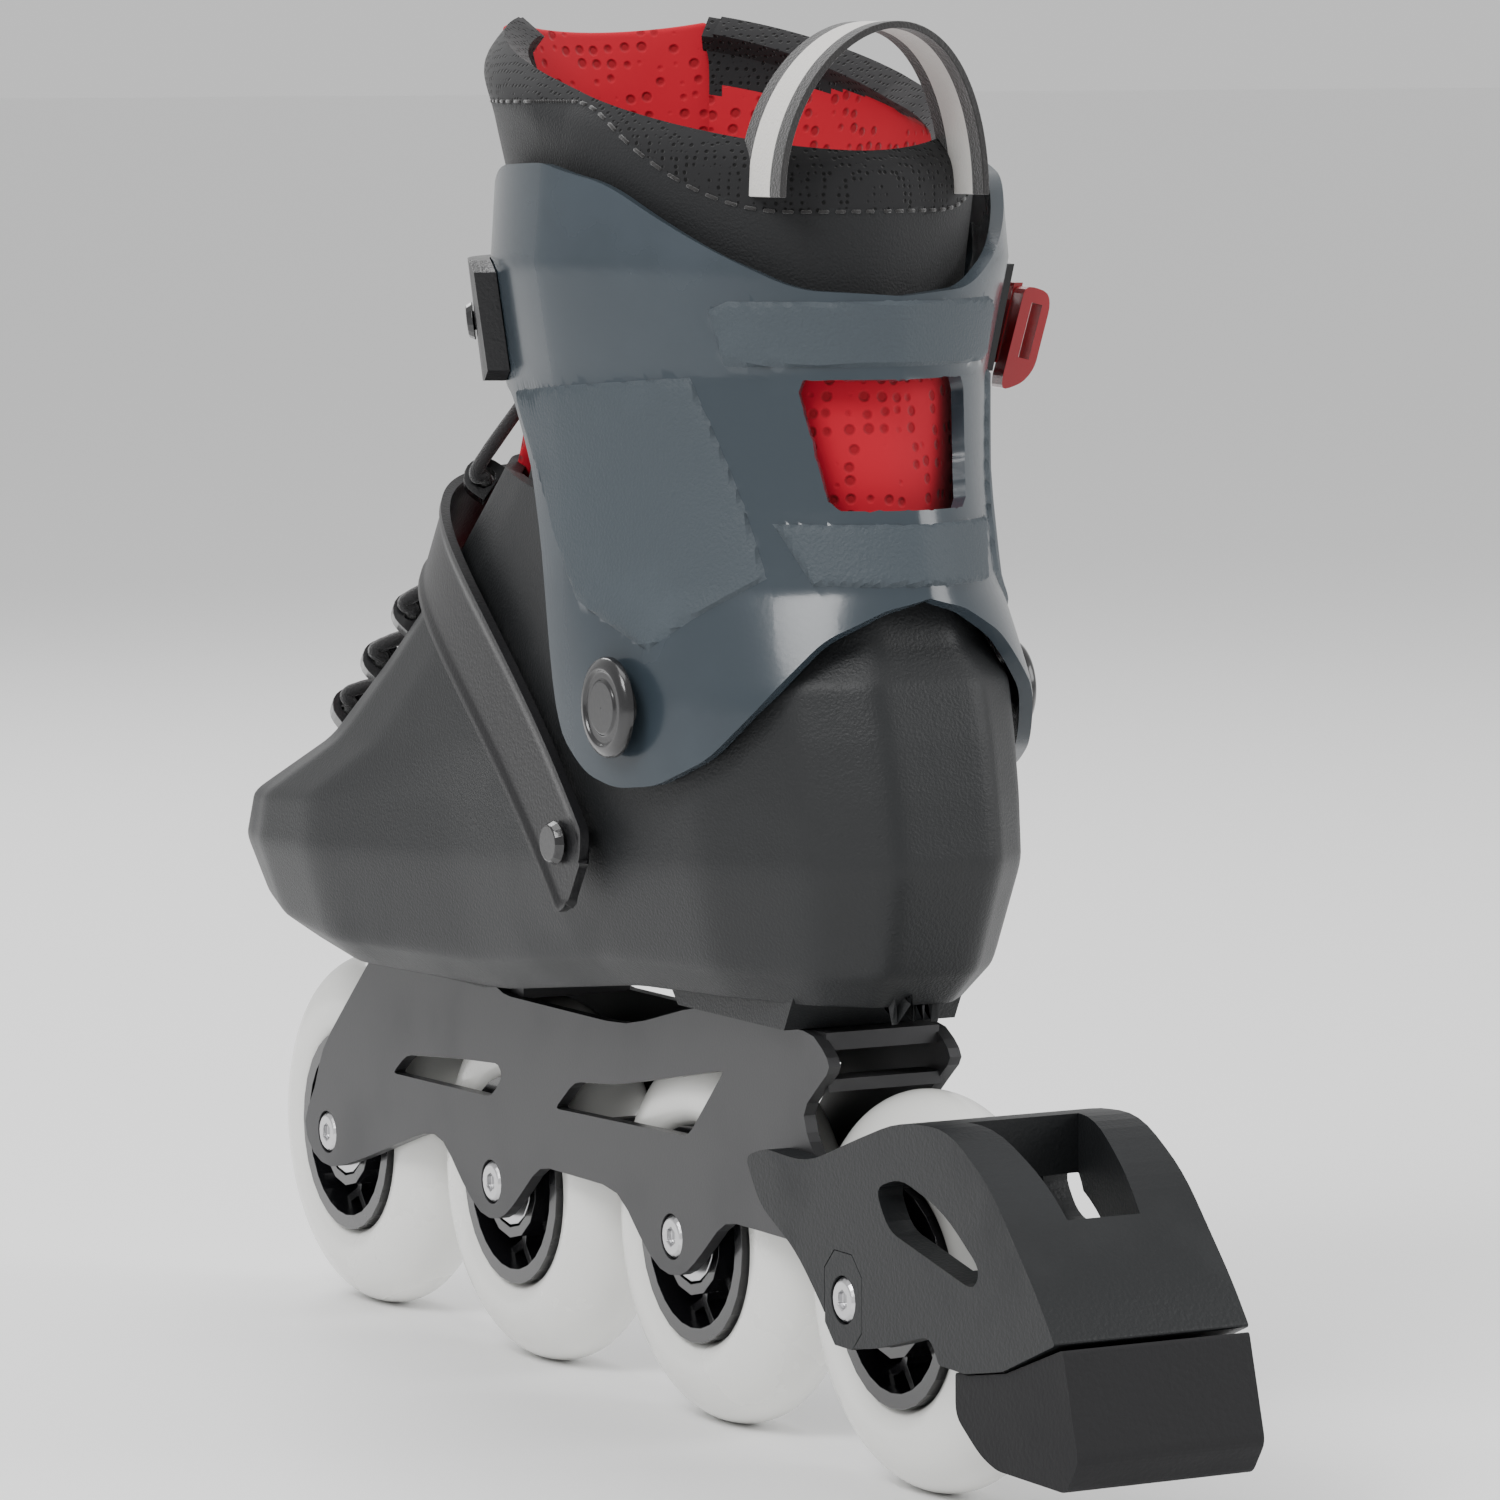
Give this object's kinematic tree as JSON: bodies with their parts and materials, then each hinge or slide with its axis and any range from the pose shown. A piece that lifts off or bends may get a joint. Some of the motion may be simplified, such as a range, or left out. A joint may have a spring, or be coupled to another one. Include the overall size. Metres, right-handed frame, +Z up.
{
  "type": "inline skate",
  "caption": "Right-foot inline skate: hard boot with hinged cuff, liner, ratchet straps and laces on a side-wall frame with wheels and a heel brake.",
  "frame": {"origin": "on the floor under the centre of the skate's bounding box", "axes": "+Z up, -Y towards the toe, +X towards the inner (medial) side of the foot; wheel axles lie along X"},
  "size_m": [0.1294, 0.4292, 0.3276],
  "materials": {
    "urethane": "cast polyurethane, pearl white",
    "hub_plastic": "glossy black moulding",
    "steel": "zinc plated",
    "frame_metal": "dark grey satin anodised",
    "brake_plastic": "moulded, worn edges",
    "brake_rubber": "matt rubber",
    "shell_plastic": "fine grain",
    "cuff_plastic": "slate grey, gloss strips and matt panels",
    "strap_plastic": "moulded",
    "lever_plastic": "dark red",
    "red_mesh": "hexagon mesh",
    "liner_fabric": "mesh and smooth panels",
    "webbing": "woven, off-white stripe",
    "lace_cord": "round braid",
    "black_trim": "black moulding"
  },
  "bodies": {
    "boot": {"axle_1": "steel", "axle_2": "steel", "axle_3": "steel", "axle_4": "steel", "frame": "frame_metal", "brake_arm": "brake_plastic", "brake_pad": "brake_rubber", "brake_insert_medial": "brake_plastic", "brake_insert_lateral": "brake_plastic", "shell": "shell_plastic", "frame_bolt_front": "steel", "frame_bolt_rear": "steel", "liner": "liner_fabric", "tongue": "red_mesh", "footbed": "red_mesh", "pull_loop": "webbing", "lace_hook_medial_1": "black_trim", "lace_hook_lateral_1": "black_trim", "lace_hook_medial_2": "black_trim", "lace_hook_lateral_2": "black_trim", "lace_hook_medial_3": "black_trim", "lace_hook_lateral_3": "black_trim", "lace_hook_medial_4": "black_trim", "lace_hook_lateral_4": "black_trim", "lace": "lace_cord", "ankle_pivot_medial": "black_trim", "ankle_pivot_lateral": "black_trim", "instep_strap": "strap_plastic", "instep_screw_medial": "black_trim", "instep_screw_lateral": "black_trim", "instep_buckle_base": "black_trim", "instep_lever_pin": "steel"},
    "wheel_1": {"tyre_1": "urethane", "hub_1": "hub_plastic", "bearing_medial_1": "steel", "bearing_lateral_1": "steel", "spacer_1": "steel"},
    "wheel_2": {"tyre_2": "urethane", "hub_2": "hub_plastic", "bearing_medial_2": "steel", "bearing_lateral_2": "steel", "spacer_2": "steel"},
    "wheel_3": {"tyre_3": "urethane", "hub_3": "hub_plastic", "bearing_medial_3": "steel", "bearing_lateral_3": "steel", "spacer_3": "steel"},
    "wheel_4": {"tyre_4": "urethane", "hub_4": "hub_plastic", "bearing_medial_4": "steel", "bearing_lateral_4": "steel", "spacer_4": "steel"},
    "cuff": {"cuff": "cuff_plastic", "strap_anchor": "black_trim", "anchor_screw": "black_trim", "cuff_strap": "strap_plastic", "cuff_buckle_base": "black_trim", "cuff_lever_pin": "steel"},
    "cuff_lever": {"cuff_lever": "lever_plastic"},
    "instep_lever": {"instep_lever": "lever_plastic"}
  },
  "joints": [
    {"name": "wheel_1_spin", "type": "hinge", "parent": "boot", "child": "wheel_1", "pos_m": [0.00725, -0.16956, 0.045], "axis": [1, 0, 0], "continuous": true},
    {"name": "wheel_2_spin", "type": "hinge", "parent": "boot", "child": "wheel_2", "pos_m": [0.00725, -0.07456, 0.045], "axis": [1, 0, 0], "continuous": true},
    {"name": "wheel_3_spin", "type": "hinge", "parent": "boot", "child": "wheel_3", "pos_m": [0.00725, 0.02044, 0.045], "axis": [1, 0, 0], "continuous": true},
    {"name": "wheel_4_spin", "type": "hinge", "parent": "boot", "child": "wheel_4", "pos_m": [0.00725, 0.11544, 0.045], "axis": [1, 0, 0], "continuous": true},
    {"name": "cuff_flex", "type": "hinge", "parent": "boot", "child": "cuff", "pos_m": [0.00725, 0.05794, 0.173], "axis": [1, 0, 0], "range_deg": [-0.3, 1.8]},
    {"name": "cuff_lever_lift", "type": "hinge", "parent": "cuff", "child": "cuff_lever", "pos_m": [-0.05778, 0.0215, 0.25537], "axis": [-0.2644, -0.0278, 0.964], "range_deg": [0, 70]},
    {"name": "instep_lever_lift", "type": "hinge", "parent": "boot", "child": "instep_lever", "pos_m": [-0.0443, -0.04044, 0.19485], "axis": [0.0144, 0.48, 0.8771], "range_deg": [0, 70]}
  ]
}
